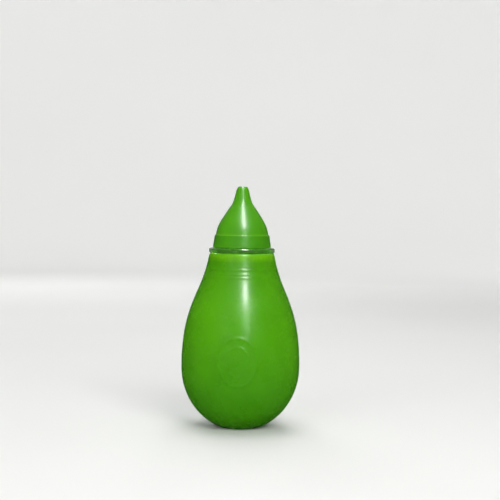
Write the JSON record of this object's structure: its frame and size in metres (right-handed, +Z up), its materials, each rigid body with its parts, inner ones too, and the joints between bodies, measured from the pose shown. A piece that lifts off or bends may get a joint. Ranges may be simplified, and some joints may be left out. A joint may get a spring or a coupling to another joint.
{
  "type": "nasal aspirator",
  "caption": "Pear-shaped squeeze bulb on a flat foot, with a thin hard collar in its neck and a soft tapered hollow nose tip on top; side walls press in, collar and tip pull off.",
  "frame": {"origin": "centre of the bulb's foot, on the plane it stands on", "axes": "+Z up along the bulb, collar and tip axis; -Y is the side the thumb presses, the front; +X to the right seen from the front"},
  "size_m": [0.0454, 0.0454, 0.0928],
  "materials": {
    "bulb_soft": "satin, soft PVC, slightly translucent apple green",
    "collar_clear": "natural polypropylene, milky translucent",
    "tip_soft": "satin silicone, slightly translucent apple green"
  },
  "bodies": {
    "bulb": {"bulb": "bulb_soft"},
    "thumb_wall": {"thumb_wall": "bulb_soft"},
    "finger_wall": {"finger_wall": "bulb_soft"},
    "collar": {"collar": "collar_clear"},
    "soft_tip": {"soft_tip": "tip_soft"}
  },
  "joints": [
    {"name": "thumb_press", "type": "slide", "parent": "bulb", "child": "thumb_wall", "axis": [0, 1, 0], "range_m": [0, 0.012], "stiffness_N_per_m": 250},
    {"name": "finger_press", "type": "slide", "parent": "bulb", "child": "finger_wall", "axis": [0, -1, 0], "range_m": [0, 0.012], "stiffness_N_per_m": 250},
    {"name": "collar_pull", "type": "slide", "parent": "bulb", "child": "collar", "axis": [0, 0, 1], "range_m": [0, 0.03]},
    {"name": "tip_pull", "type": "slide", "parent": "collar", "child": "soft_tip", "axis": [0, 0, 1], "range_m": [0, 0.025]}
  ],
  "couplings": [
    {"joint": "finger_press", "follows": "thumb_press", "ratio": 1}
  ]
}
